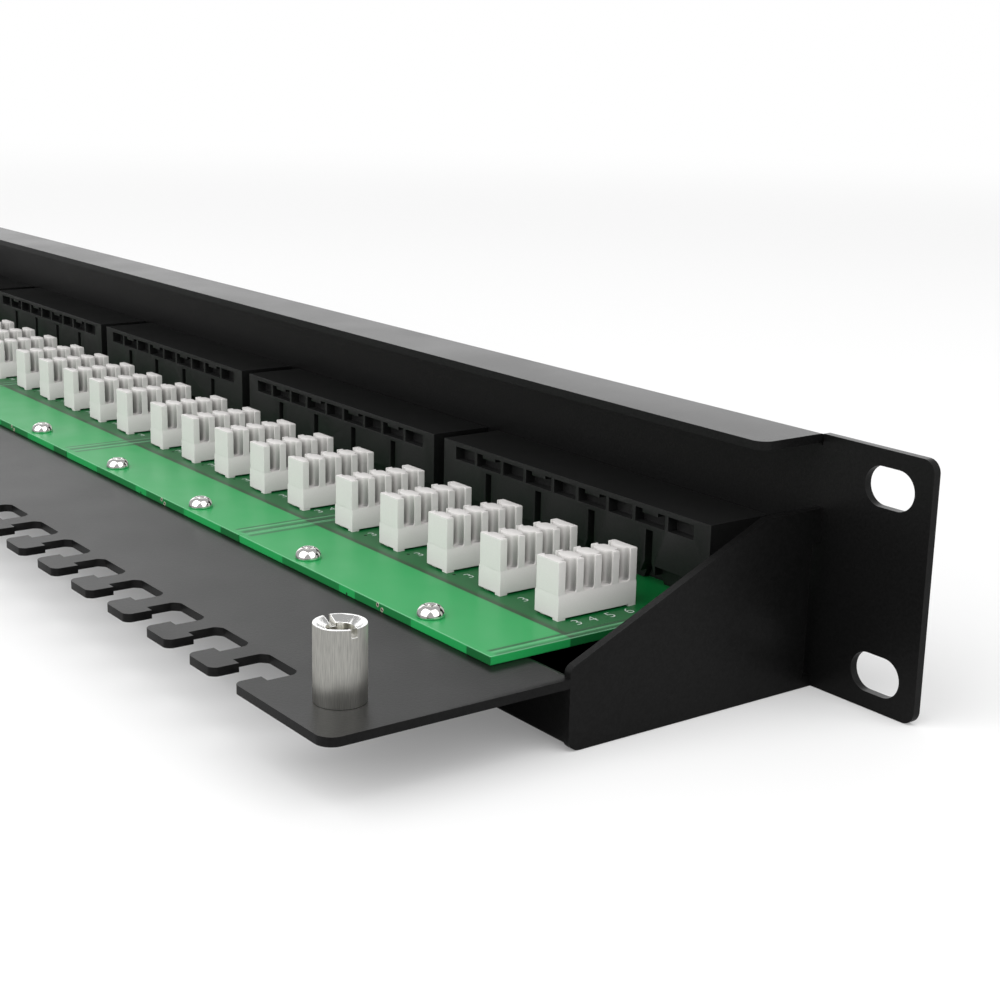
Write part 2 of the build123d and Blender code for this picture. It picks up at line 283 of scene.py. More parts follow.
def board_finish():
    """Glossy green solder mask over the copper, and the bare cut edge of the board, with painted highlight and shade
    at the creases and painted highlight on the rounded top edges.
    """
    finish = bpy.data.materials.new("green solder mask")
    finish.use_nodes = True
    tree = finish.node_tree
    add = tree.nodes.new
    link = tree.links.new
    shader = tree.nodes["Principled BSDF"]
    shader.inputs["Specular IOR Level"].default_value = 0.25
    layout = add("ShaderNodeGroup")
    layout.node_tree = board_layout_group()
    grain = add("ShaderNodeGroup")
    grain.node_tree = fine_grain
    grain.inputs["Coarse Scale"].default_value = 420.0
    grain.inputs["Fine Scale"].default_value = 1900.0
    grain.inputs["Smoothest"].default_value = 0.30
    grain.inputs["Roughest"].default_value = 0.42
    # Painted shade and painted highlight of the creases, mixed over the strip's colour.
    dark = add("ShaderNodeMix")
    dark.data_type = "RGBA"
    dark.inputs["B"].default_value = (0.012, 0.055, 0.022, 1.0)
    crease_highlight = add("ShaderNodeMix")
    crease_highlight.data_type = "RGBA"
    crease_highlight.inputs["B"].default_value = (0.16, 0.46, 0.24, 1.0)
    crease_shade_share = add("ShaderNodeMath")
    crease_shade_share.operation = "MULTIPLY"
    crease_shade_share.inputs[1].default_value = 0.9
    crease_highlight_share = add("ShaderNodeMath")
    crease_highlight_share.operation = "MULTIPLY"
    crease_highlight_share.inputs[1].default_value = 0.75
    link(layout.outputs["Dark Crease"], crease_shade_share.inputs[0])
    link(layout.outputs["Pale Crease"], crease_highlight_share.inputs[0])
    link(crease_shade_share.outputs["Value"], dark.inputs["Factor"])
    link(layout.outputs["Strip"], dark.inputs["A"])
    link(crease_highlight_share.outputs["Value"], crease_highlight.inputs["Factor"])
    link(dark.outputs["Result"], crease_highlight.inputs["A"])
    cut = add("ShaderNodeMix")
    cut.data_type = "RGBA"
    cut.inputs["A"].default_value = (0.009, 0.135, 0.034, 1.0)
    cut.inputs["B"].default_value = (0.020, 0.36, 0.090, 1.0)
    link(layout.outputs["Pale Edge"], cut.inputs["Factor"])
    facing = add("ShaderNodeNewGeometry")
    turned = add("ShaderNodeSeparateXYZ")
    above = add("ShaderNodeMath")
    above.operation = "GREATER_THAN"
    above.inputs[1].default_value = 0.3
    link(facing.outputs["Normal"], turned.inputs["Vector"])
    link(turned.outputs["Z"], above.inputs[0])
    whole = add("ShaderNodeMix")
    whole.data_type = "RGBA"
    link(above.outputs["Value"], whole.inputs["Factor"])
    link(cut.outputs["Result"], whole.inputs["A"])
    link(crease_highlight.outputs["Result"], whole.inputs["B"])
    # Painted highlight: the rounded top edges, tilted between upright and flat, are mixed towards a pale green.
    edge_highlight_band = add("ShaderNodeValToRGB")
    edge_highlight_band.color_ramp.interpolation = "CONSTANT"
    edge_highlight_band.color_ramp.elements[0].position = 0.0
    edge_highlight_band.color_ramp.elements[0].color = (0.0, 0.0, 0.0, 1.0)
    edge_highlight_band.color_ramp.elements[1].position = 0.97
    edge_highlight_band.color_ramp.elements[1].color = (0.0, 0.0, 0.0, 1.0)
    edge_highlight_stop = edge_highlight_band.color_ramp.elements.new(0.3)
    edge_highlight_stop.color = (0.55, 0.55, 0.55, 1.0)
    edge_highlighted = add("ShaderNodeMix")
    edge_highlighted.data_type = "RGBA"
    edge_highlighted.inputs["B"].default_value = (0.22, 0.50, 0.30, 1.0)
    link(turned.outputs["Z"], edge_highlight_band.inputs["Fac"])
    link(edge_highlight_band.outputs["Color"], edge_highlighted.inputs["Factor"])
    link(whole.outputs["Result"], edge_highlighted.inputs["A"])
    link(edge_highlighted.outputs["Result"], shader.inputs["Base Color"])
    relief = add("ShaderNodeBump")
    relief.inputs["Strength"].default_value = 0.12
    relief.inputs["Distance"].default_value = 0.00004
    link(grain.outputs["Height"], relief.inputs["Height"])
    link(relief.outputs["Normal"], shader.inputs["Normal"])
    link(grain.outputs["Roughness"], shader.inputs["Roughness"])
    return finish


solder_mask = board_finish()
for number in range(1, 6):
    board = rounded_piece(merged_mesh(f"circuit_board_{number}", f"mask_board_{number}"), 0.0002, 2, solder_mask)
    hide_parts(f"circuit_board_{number}")
    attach(board, "root")


# Board print. White ink numbers beside each block, read from the end of the
# panel, tinned rings around holes in the rear edge of each board, and dark
# discs of painted shade in place of the inside of drilled holes, beside some
# blocks and in the rear edge. All lie on the boards.
def repeat_tree():
    """A tree that repeats a pattern on every board, a row of places to each board."""
    tree = bpy.data.node_groups.new("row on each board", "GeometryNodeTree")
    for name, kind in (
        ("Pattern", "NodeSocketObject"),
        ("Boards", "NodeSocketInt"),
        ("Board Pitch", "NodeSocketVector"),
        ("Places", "NodeSocketInt"),
        ("Place Pitch", "NodeSocketVector"),
        ("Start", "NodeSocketVector"),
        ("Finish", "NodeSocketMaterial"),
    ):
        tree.interface.new_socket(name, in_out="INPUT", socket_type=kind)
    tree.interface.new_socket("Geometry", in_out="OUTPUT", socket_type="NodeSocketGeometry")
    add = tree.nodes.new
    link = tree.links.new
    inputs = add("NodeGroupInput")
    outputs = add("NodeGroupOutput")
    boards = add("GeometryNodeMeshLine")
    places = add("GeometryNodeMeshLine")
    rows = add("GeometryNodeInstanceOnPoints")
    spots = add("GeometryNodeRealizeInstances")
    pattern = add("GeometryNodeObjectInfo")
    copies = add("GeometryNodeInstanceOnPoints")
    whole = add("GeometryNodeRealizeInstances")
    finish = add("GeometryNodeSetMaterial")
    link(inputs.outputs["Boards"], boards.inputs["Count"])
    link(inputs.outputs["Start"], boards.inputs["Start Location"])
    link(inputs.outputs["Board Pitch"], boards.inputs["Offset"])
    link(inputs.outputs["Places"], places.inputs["Count"])
    link(inputs.outputs["Place Pitch"], places.inputs["Offset"])
    link(boards.outputs["Mesh"], rows.inputs["Points"])
    link(places.outputs["Mesh"], rows.inputs["Instance"])
    link(rows.outputs["Instances"], spots.inputs["Geometry"])
    link(inputs.outputs["Pattern"], pattern.inputs["Object"])
    link(spots.outputs["Geometry"], copies.inputs["Points"])
    link(pattern.outputs["Geometry"], copies.inputs["Instance"])
    link(copies.outputs["Instances"], whole.inputs["Geometry"])
    link(whole.outputs["Geometry"], finish.inputs["Geometry"])
    link(inputs.outputs["Finish"], finish.inputs["Material"])
    link(finish.outputs["Geometry"], outputs.inputs["Geometry"])
    return tree


row_tree = repeat_tree()


def repeated(name, pattern_mesh, places, place_pitch, start, finish, sharp):
    """One object with the pattern repeated on the five boards, realised as a mesh."""
    pattern = bpy.data.objects.new(f"{name}_pattern", pattern_mesh)
    bpy.context.collection.objects.link(pattern)
    carrier = bpy.data.objects.new(f"{name}_carrier", bpy.data.meshes.new(f"{name}_carrier"))
    bpy.context.collection.objects.link(carrier)
    rows = carrier.modifiers.new("rows", "NODES")
    rows.node_group = row_tree
    values = {
        "Pattern": pattern,
        "Boards": 5,
        "Board Pitch": (0.0833, 0.0, 0.0),
        "Places": places,
        "Place Pitch": (place_pitch, 0.0, 0.0),
        "Start": start,
        "Finish": finish,
    }
    for item in row_tree.interface.items_tree:
        if item.in_out == "INPUT":
            rows[item.identifier] = values[item.name]
    evaluated = carrier.evaluated_get(bpy.context.evaluated_depsgraph_get())
    mesh = bpy.data.meshes.new_from_object(evaluated)
    mesh.name = name
    bpy.data.objects.remove(carrier)
    bpy.data.objects.remove(pattern)
    piece = bpy.data.objects.new(name, mesh)
    bpy.context.collection.objects.link(piece)
    if sharp:
        for face in mesh.polygons:
            face.use_smooth = True
        mesh.set_sharp_from_angle(angle=math.radians(sharp))
    return piece


board_top = -0.0085
ink = grained("white print ink", (0.38, 0.45, 0.41), (0.58, 0.64, 0.60), (0.5, 0.65), 0.2, 2400.0, 0.3)
print_builder = bmesh.new()
for digit, y in (("3", 0.00594), ("4", 0.00270), ("5", -0.00120), ("6", -0.00525)):
    letter = bpy.data.curves.new(f"digit_{digit}", "FONT")
    letter.body = digit
    letter.size = 0.0034
    letter.offset = -0.00005
    letter.align_x = "CENTER"
    letter.align_y = "CENTER"
    letter.extrude = 0.00001
    holder = bpy.data.objects.new(letter.name, letter)
    bpy.context.collection.objects.link(holder)
    bpy.context.view_layer.update()
    digit_mesh = bpy.data.meshes.new_from_object(holder)
    for vertex in digit_mesh.vertices:
        vertex.co = Vector((vertex.co.y, y - vertex.co.x, vertex.co.z + 0.00002))
    print_builder.from_mesh(digit_mesh)
    bpy.data.objects.remove(holder)
print_mesh = bpy.data.meshes.new("block_numbers")
print_builder.to_mesh(print_mesh)
print_builder.free()
for name, places, start in (("first_numbers", 1, -0.16660 - 0.03226 - 0.0028), ("block_numbers", 4, -0.16660 - 0.01613 - 0.0043)):
    numbers = repeated(name, print_mesh.copy(), places, 0.01613, (start, 0.0325, board_top), ink, 0)
    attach(numbers, "root")

tin = bpy.data.materials.new("tinned copper")
tin.use_nodes = True
tin_shader = tin.node_tree.nodes["Principled BSDF"]
tin_shader.inputs["Base Color"].default_value = (0.72, 0.64, 0.54, 1.0)
tin_shader.inputs["Metallic"].default_value = 0.7
tin_shader.inputs["Roughness"].default_value = 0.45
tin_noise = tin.node_tree.nodes.new("ShaderNodeTexNoise")
tin_noise.inputs["Scale"].default_value = 2500.0
tin_relief = tin.node_tree.nodes.new("ShaderNodeBump")
tin_relief.inputs["Strength"].default_value = 0.3
tin_relief.inputs["Distance"].default_value = 0.00003
tin_place = tin.node_tree.nodes.new("ShaderNodeTexCoord")
tin.node_tree.links.new(tin_place.outputs["Object"], tin_noise.inputs["Vector"])
tin.node_tree.links.new(tin_noise.outputs["Fac"], tin_relief.inputs["Height"])
tin.node_tree.links.new(tin_relief.outputs["Normal"], tin_shader.inputs["Normal"])


def turned_rings(builder, profile, steps, x, y, z):
    """Turns a profile of (radius, height) points about an upright axis at x, y and z."""
    rings = []
    for radius, height in profile:
        if radius == 0.0:
            rings.append([builder.verts.new((x, y, z + height))])
        else:
            rings.append(
                [
                    builder.verts.new((x + radius * math.cos(2 * math.pi * k / steps), y + radius * math.sin(2 * math.pi * k / steps), z + height))
                    for k in range(steps)
                ]
            )
    for lower, upper in zip(rings, rings[1:]):
        for k in range(steps):
            a, b = k, (k + 1) % steps
            if len(lower) == 1:
                builder.faces.new((lower[0], upper[b], upper[a]))
            elif len(upper) == 1:
                builder.faces.new((lower[a], lower[b], upper[0]))
            else:
                builder.faces.new((lower[a], lower[b], upper[b], upper[a]))


hole_ring = [(0.00024, 0.0), (0.00024, 0.00004), (0.00027, 0.00006), (0.00040, 0.00006), (0.00043, 0.00003), (0.00043, 0.0)]
hole_builder = bmesh.new()
for x, z in ((-0.00805, -0.00050), (-0.00941, -0.00106)):
    turned_rings(hole_builder, hole_ring, 20, 0.0, 0.0, 0.0)
    for vertex in hole_builder.verts:
        if abs(vertex.co.x) < 0.001 and abs(vertex.co.y) < 0.001:
            vertex.co = Vector((x + vertex.co.x, 0.06028 + vertex.co.z, z + vertex.co.y))
bmesh.ops.recalc_face_normals(hole_builder, faces=hole_builder.faces)
hole_mesh = bpy.data.meshes.new("tinned_holes")
hole_builder.to_mesh(hole_mesh)
hole_builder.free()
holes = repeated("tinned_holes", hole_mesh, 1, 0.0, (-0.1666, 0.0, board_top), tin, 40)
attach(holes, "root")

# Painted shade: dark discs stand in for the inside of the drilled holes, on the board's top and in its rear edge.
hole_shade = grained("bare drilled hole", (0.006, 0.010, 0.006), (0.012, 0.020, 0.012), (0.5, 0.7), 0.2, 2400.0, 0.2)
drill_builder = bmesh.new()
for x, y in ((-0.00203, 0.04024), (0.01308, 0.04009), (0.02824, 0.03997)):
    turned_rings(drill_builder, [(0.0, 0.00002), (0.00030, 0.00002), (0.00033, 0.0), (0.0, 0.0)], 20, x, y, 0.0)
for x, z in ((-0.00805, -0.00050), (-0.00941, -0.00106), (0.0020, -0.00125)):
    flat = len(drill_builder.verts)
    turned_rings(drill_builder, [(0.0, 0.00002), (0.00025, 0.00002), (0.00026, 0.0), (0.0, 0.0)], 20, 0.0, 0.0, 0.0)
    drill_builder.verts.ensure_lookup_table()
    for vertex in drill_builder.verts[flat:]:
        vertex.co = Vector((x + vertex.co.x, 0.06028 + vertex.co.z, z + vertex.co.y))
bmesh.ops.recalc_face_normals(drill_builder, faces=drill_builder.faces)
drill_mesh = bpy.data.meshes.new("drilled_holes")
drill_builder.to_mesh(drill_mesh)
drill_builder.free()
drilled = repeated("drilled_holes", drill_mesh, 1, 0.0, (-0.1666, 0.0, board_top), hole_shade, 40)
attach(drilled, "root")


# Jack housings. Black mouldings with a fine matt skin, one to a board. Their
# noses pass through the windows in the front of the chassis, and the back has
# a row of windows over tall slots.
housing_plastic = grained("black moulded plastic", (0.0075, 0.0077, 0.0076), (0.0125, 0.0128, 0.0126), (0.34, 0.46), 0.3, 2200.0, 0.4)
for number in range(1, 6):
    housing = rounded_piece(merged_mesh(f"jack_housing_{number}", f"moulded_housing_{number}"), 0.00010, 2, housing_plastic)
    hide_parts(f"jack_housing_{number}")
    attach(housing, "root")


# Contacts. Flat spring wires, gold flashed, that hang from the ceiling of each
# port and meet the plug. Four lie side by side in every port.
gold_wire = bpy.data.materials.new("gold flashed wire")
gold_wire.use_nodes = True
gold_shader = gold_wire.node_tree.nodes["Principled BSDF"]
gold_shader.inputs["Base Color"].default_value = (0.85, 0.6, 0.22, 1.0)
gold_shader.inputs["Metallic"].default_value = 1.0
gold_grain = gold_wire.node_tree.nodes.new("ShaderNodeGroup")
gold_grain.node_tree = fine_grain
gold_grain.inputs["Smoothest"].default_value = 0.18
gold_grain.inputs["Roughest"].default_value = 0.32
gold_wire.node_tree.links.new(gold_grain.outputs["Roughness"], gold_shader.inputs["Roughness"])
for number in range(1, 6):
    wires = rounded_piece(merged_mesh(f"jack_contacts_{number}", f"contact_wires_{number}"), 0.00006, 1, gold_wire)
    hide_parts(f"jack_contacts_{number}")
    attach(wires, "root")


# Punch-down blocks. Twenty-five white mouldings, soldered to the boards. Each
# is a solid base on small feet with five fingers, and the walls of a wire slot
# open to a pocket inside each mouth and then close on the blade. Shade is
# painted into the slots and onto the finger tops.
base_half_width = 0.0032
body_half_width = 0.00292
body_middle_width = 0.003
body_middle = -0.00008
block_half_length = 0.0085
block_height = 0.0102
ledge_height = 0.00445
floor_height = 0.00446
way_pitch = 0.00385
slot_line = (
    (0.0, 0.00127),
    (0.00004, 0.00123),
    (0.00026, 0.00121),
    (0.00033, 0.00126),
    (0.0004, 0.00138),
    (0.0005, 0.0015),
    (0.00064, 0.00157),
    (0.0008, 0.00155),
    (0.00092, 0.00143),
    (0.00102, 0.00121),
    (0.00112, 0.00095),
    (0.00122, 0.00077),
    (0.00145, 0.00062),
    (0.0016, 0.00058),
    (0.00205, 0.00044),
    (0.0026, 0.00024),
    (0.00292, 0.0002),
)
# Painted shade in the wire slots: by depth in from the face, the share of a dark grey mixed into the white plastic.
painted_shade_line = (
    (0.0, 0.0),
    (0.0003, 0.08),
    (0.0005, 0.45),
    (0.0007, 0.9),
    (0.00095, 1.0),
    (0.00114, 0.9),
    (0.0013, 0.2),
    (0.0016, 0.05),
    (0.0019, 0.9),
    (0.0031, 1.0),
)


def finger_ring(low, high, low_open, high_open, z, widen, limit, inset):
    """The plan of a finger from low to high in Y at z, hollowed beside each open slot."""
    depths = [depth for depth, _ in slot_line] + [2 * body_half_width - depth for depth, _ in reversed(slot_line[:-1])]
    halves = [half for _, half in slot_line] + [half for _, half in reversed(slot_line[:-1])]
    shrunk = (body_half_width - inset) / body_half_width
    low_side = []
    high_side = []
    for depth, half in zip(depths, halves):
        x = (depth - body_half_width) * shrunk * body_middle_width / body_half_width + body_middle
        edge = min(depth, 2 * body_half_width - depth)
        corner = 0.00014 - math.sqrt(max(0.00014**2 - max(0.00014 - edge, 0.0) ** 2, 0.0))
        opening = max(half, limit) - widen + inset
        closed = corner + inset
        low_side.append((x, low + (max(opening, 0.00006) if low_open else closed), z))
        high_side.append((x, high - (max(opening, 0.00006) if high_open else closed), z))
    return low_side + list(reversed(high_side))


def stacked(builder, rings):
    """Skins a stack of rings of equal count and closes both ends."""
    rows = [[builder.verts.new(point) for point in ring] for ring in rings]
    count = len(rows[0])
    for lower, upper in zip(rows, rows[1:]):
        for k in range(count):
            builder.faces.new((lower[k], lower[(k + 1) % count], upper[(k + 1) % count], upper[k]))
    builder.faces.new(list(reversed(rows[0])))
    builder.faces.new(rows[-1])


def corner_ring(half_width, half_length, radius, z, middle=0.0):
    """A rectangle with rounded corners at z, moved to its middle in X."""
    points = []
    for quarter, (sx, sy) in enumerate(((1, 1), (-1, 1), (-1, -1), (1, -1))):
        for step in range(4):
            angle = math.pi / 2 * (quarter + step / 3)
            points.append((middle + sx * (half_width - radius) + radius * math.cos(angle), sy * (half_length - radius) + radius * math.sin(angle), z))
    return points


def block_mesh():
    """One block about its own middle, standing on the board, with painted shade in its slots and on its finger tops.
    """
    builder = bmesh.new()
    for x, y, wide, long in ((-0.00243, 0.00765, 0.00075, 0.00083), (-0.00243, -0.00765, 0.00075, 0.00083), (0.0016, 0.0073, 0.0007, 0.0007), (0.0016, -0.0073, 0.0007, 0.0007)):
        rings = [corner_ring(wide, long, 0.00012, z) for z in (0.0, 0.0006)]
        stacked(builder, [[(px + x, py + y, pz) for px, py, pz in ring] for ring in rings])
    stacked(
        builder,
        [
            corner_ring(base_half_width - 0.00008, block_half_length - 0.00008, 0.00014, 0.0003),
            corner_ring(base_half_width, block_half_length, 0.00014, 0.00038),
            corner_ring(base_half_width, block_half_length, 0.00014, ledge_height - 0.00030),
            corner_ring(body_middle_width, block_half_length, 0.00014, ledge_height, body_middle),
            corner_ring(body_middle_width, block_half_length, 0.00014, floor_height, body_middle),
        ],
    )
    middles = [way_pitch * (k - 1.5) for k in range(4)]
    starts = [-block_half_length] + middles
    ends = middles + [block_half_length]
    flare = 0.00055
    lead = 0.0009
    for middle in middles:
        slab = [corner_ring(body_middle_width - 0.0003, 0.00085, 0.0001, z, body_middle) for z in (floor_height - 0.0001, floor_height + 0.00001)]
        stacked(builder, [[(x, y + middle, z) for x, y, z in ring] for ring in slab])
    for k in range(5):
        rings = []
        for step in range(4):
            angle = math.pi / 2 * step / 3
            rings.append((floor_height - 0.00002 + flare * (1 - math.cos(angle)), flare * (1 - math.sin(angle)), 0.0, 0.0))
        for drop, limit, inset in ((lead, 0.0, 0.0), (0.7 * lead, 0.00024, 0.0), (0.4 * lead, 0.00034, 0.0), (0.00014, 0.00043, 0.0), (0.00003, 0.00045, 0.00003), (0.0, 0.00046, 0.0001)):
            rings.append((block_height - drop, 0.0, limit, inset))
        stacked(builder, [finger_ring(starts[k], ends[k], k > 0, k < 4, z, widen, limit, inset) for z, widen, limit, inset in rings])
    bmesh.ops.recalc_face_normals(builder, faces=builder.faces)
    mesh = bpy.data.meshes.new("punch_block")
    builder.to_mesh(mesh)
    builder.free()
    painted_shades = mesh.attributes.new("slot_shade", "FLOAT", "POINT")
    for vertex in mesh.vertices:
        x, y, z = vertex.co
        drop = block_height - z
        beside = min(abs(y - middle) for middle in middles)
        # Painted shade: a little on the finger tops, and on the slot walls by their depth, fading towards the top.
        if drop < 0.00012:
            painted_shades.data[vertex.index].value = 0.22
        if drop < 0.00012 or z < floor_height - 0.00003 or beside > 0.0017:
            continue
        depth = body_middle_width - abs(x - body_middle)
        for (near, light), (deep, heavy) in zip(painted_shade_line, painted_shade_line[1:]):
            if near <= depth <= deep:
                painted_shades.data[vertex.index].value = (light + (heavy - light) * (depth - near) / (deep - near)) * min(1.0, 0.15 + drop / 0.0035)
    return mesh


white_plastic = grained("white moulded plastic", (0.690, 0.668, 0.655), (0.710, 0.688, 0.675), (0.38, 0.5), 0.06, 3200.0, 0.4)
# The white is mixed towards a dark grey by the painted shade that the block carries on its points.
slot_shade = white_plastic.node_tree.nodes.new("ShaderNodeAttribute")
slot_shade.attribute_name = "slot_shade"
painted_shade_share = white_plastic.node_tree.nodes.new("ShaderNodeMath")
painted_shade_share.operation = "MULTIPLY"
painted_shade_share.inputs[1].default_value = 0.78
painted_shade_tone = white_plastic.node_tree.nodes.new("ShaderNodeMix")
painted_shade_tone.data_type = "RGBA"
painted_shade_tone.inputs["B"].default_value = (0.17, 0.178, 0.168, 1.0)
plain_white = white_plastic.node_tree.nodes["Principled BSDF"].inputs["Base Color"].links[0].from_socket
white_plastic.node_tree.links.new(slot_shade.outputs["Fac"], painted_shade_share.inputs[0])
white_plastic.node_tree.links.new(painted_shade_share.outputs["Value"], painted_shade_tone.inputs["Factor"])
white_plastic.node_tree.links.new(plain_white, painted_shade_tone.inputs["A"])
white_plastic.node_tree.links.new(painted_shade_tone.outputs["Result"], white_plastic.node_tree.nodes["Principled BSDF"].inputs["Base Color"])
blocks = repeated("punch_blocks", block_mesh(), 5, 0.01613, (-0.16660 - 0.03226 + 0.00242, 0.0325, board_top), white_plastic, 28)
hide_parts(*[f"idc_block_{n:02d}" for n in range(1, 26)])
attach(blocks, "root")


# Board screws. Ten bright nickel-plated dome heads, two in each board, with a
# cross recess in the flattened crown. They hold the boards down on the tray.
chrome = bpy.data.materials.new("bright nickel plating")
chrome.use_nodes = True
chrome_shader = chrome.node_tree.nodes["Principled BSDF"]
chrome_shader.inputs["Base Color"].default_value = (0.80, 0.79, 0.77, 1.0)
chrome_shader.inputs["Metallic"].default_value = 1.0
chrome_grain = chrome.node_tree.nodes.new("ShaderNodeGroup")
chrome_grain.node_tree = fine_grain
chrome_grain.inputs["Smoothest"].default_value = 0.04
chrome_grain.inputs["Roughest"].default_value = 0.10
chrome.node_tree.links.new(chrome_grain.outputs["Roughness"], chrome_shader.inputs["Roughness"])

dome = [(0.0, 0.0), (0.00236, 0.0), (0.00246, 0.00010), (0.00247, 0.00030), (0.00243, 0.0006), (0.00232, 0.00095), (0.00214, 0.0013), (0.00188, 0.0016), (0.00158, 0.00182), (0.00125, 0.00196), (0.00112, 0.0020), (0.00100, 0.00196), (0.0007, 0.00180), (0.0, 0.00172)]
screw_builder = bmesh.new()
turned_rings(screw_builder, dome, 64, 0.0, 0.0, 0.0)
bmesh.ops.recalc_face_normals(screw_builder, faces=screw_builder.faces)
screw_mesh = bpy.data.meshes.new("dome_screw")
screw_builder.to_mesh(screw_mesh)
screw_builder.free()
cutter_builder = bmesh.new()
for long, wide in ((0.00088, 0.00024), (0.00024, 0.00088)):
    stacked(cutter_builder, [[(-long * size, -wide * size, z), (long * size, -wide * size, z), (long * size, wide * size, z), (-long * size, wide * size, z)] for z, size in ((0.0009, 0.55), (0.0030, 1.15))])
bmesh.ops.recalc_face_normals(cutter_builder, faces=cutter_builder.faces)
cutter_mesh = bpy.data.meshes.new("cross_recess")
cutter_builder.to_mesh(cutter_mesh)
cutter_builder.free()
cutter = bpy.data.objects.new("cross_recess", cutter_mesh)
bpy.context.collection.objects.link(cutter)
whole_screw = bpy.data.objects.new("dome_screw", screw_mesh)
bpy.context.collection.objects.link(whole_screw)
recess = whole_screw.modifiers.new("recess", "BOOLEAN")
recess.object = cutter
recess.operation = "DIFFERENCE"
recess.use_self = True
cut_screw = bpy.data.meshes.new_from_object(whole_screw.evaluated_get(bpy.context.evaluated_depsgraph_get()))
bpy.data.objects.remove(whole_screw)
bpy.data.objects.remove(cutter)
screws = repeated("dome_screws", cut_screw, 2, 0.0401, (-0.1666 + 0.0009 - 0.02005, 0.05695, board_top), chrome, 50)
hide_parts("board_screws")
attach(screws, "root")


# Ground stud. Turned steel with an upright brushed side, bored, countersunk
# and slotted at the top, and held by a hexagon screw from under the tray.
def brushed(name, tint, dullest):
    """Steel with fine upright brushing on its side and a bright turned top."""
    finish = bpy.data.materials.new(name)
    finish.use_nodes = True
    tree = finish.node_tree
    add = tree.nodes.new
    link = tree.links.new
    shader = tree.nodes["Principled BSDF"]
    shader.inputs["Metallic"].default_value = 1.0
    shader.inputs["Anisotropic"].default_value = 1.0
    around = add("ShaderNodeTangent")
    around.direction_type = "RADIAL"
    around.axis = "Z"
    link(around.outputs["Tangent"], shader.inputs["Tangent"])
    place = add("ShaderNodeTexCoord")
    squeeze = add("ShaderNodeMapping")
    squeeze.inputs["Scale"].default_value = (8000.0, 8000.0, 420.0)
    streaks = add("ShaderNodeTexNoise")
    streaks.inputs["Scale"].default_value = 1.0
    streaks.inputs["Detail"].default_value = 3.0
    link(place.outputs["Object"], squeeze.inputs["Vector"])
    link(squeeze.outputs["Vector"], streaks.inputs["Vector"])
    tones = add("ShaderNodeValToRGB")
    tones.color_ramp.elements[0].position = 0.3
    tones.color_ramp.elements[0].color = tuple(0.72 * part for part in tint) + (1.0,)
    tones.color_ramp.elements[1].position = 0.7
    tones.color_ramp.elements[1].color = (*tint, 1.0)
    link(streaks.outputs["Fac"], tones.inputs["Fac"])
    facing = add("ShaderNodeNewGeometry")
    turned = add("ShaderNodeSeparateXYZ")
    above = add("ShaderNodeMath")
    above.operation = "GREATER_THAN"
    above.inputs[1].default_value = 0.3
    link(facing.outputs["Normal"], turned.inputs["Vector"])
    link(turned.outputs["Z"], above.inputs[0])
    top = add("ShaderNodeMix")
    top.data_type = "RGBA"
    top.inputs["B"].default_value = (0.82, 0.82, 0.81, 1.0)
    link(above.outputs["Value"], top.inputs["Factor"])
    link(tones.outputs["Color"], top.inputs["A"])
    link(top.outputs["Result"], shader.inputs["Base Color"])
    gloss = add("ShaderNodeMapRange")
    gloss.inputs["To Min"].default_value = dullest
    gloss.inputs["To Max"].default_value = 0.1
    link(above.outputs["Value"], gloss.inputs["Value"])
    link(gloss.outputs["Result"], shader.inputs["Roughness"])
    relief = add("ShaderNodeBump")
    relief.inputs["Strength"].default_value = 0.35
    relief.inputs["Distance"].default_value = 0.00005
    link(streaks.outputs["Fac"], relief.inputs["Height"])
    link(relief.outputs["Normal"], shader.inputs["Normal"])
    return finish


stud_steel = brushed("brushed turned steel", (0.90, 0.89, 0.83), 0.38)
for node, name in (("ground_stud", "turned_stud"), ("stud_screw", "screw_under_stud")):
    stud = rounded_piece(merged_mesh(node, name), 0.00010, 2, stud_steel)
    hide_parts(node)
    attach(stud, "root")


# The studio. A white paper floor that the panel stands on, a white surround,
# two soft lamps beside the camera and a wide soft card behind the panel. The
# gloss of the black pieces sees less of the paper than the eye does. To the
# camera the paper partly glows, which paints light into its shadows near the
# panel.
floor_mesh = bpy.data.meshes.new("studio_floor")
floor_z = cad_box[0][2] - 0.0001
floor_mesh.from_pydata([(-6, -6, floor_z), (6, -6, floor_z), (6, 6, floor_z), (-6, 6, floor_z)], [], [(0, 1, 2, 3)])
floor = bpy.data.objects.new("studio_floor", floor_mesh)
bpy.context.collection.objects.link(floor)
paper = bpy.data.materials.new("white paper floor")
paper.use_nodes = True
paper_shader = paper.node_tree.nodes["Principled BSDF"]
paper_shader.inputs["Roughness"].default_value = 1.0
paper_shader.inputs["Specular IOR Level"].default_value = 0.0
paper_ray = paper.node_tree.nodes.new("ShaderNodeLightPath")
paper_tone = paper.node_tree.nodes.new("ShaderNodeMix")
paper_tone.data_type = "RGBA"
paper_tone.inputs["A"].default_value = (0.80, 0.80, 0.80, 1.0)
paper_tone.inputs["B"].default_value = (0.36, 0.36, 0.36, 1.0)
paper.node_tree.links.new(paper_ray.outputs["Is Glossy Ray"], paper_tone.inputs["Factor"])
paper.node_tree.links.new(paper_tone.outputs["Result"], paper_shader.inputs["Base Color"])
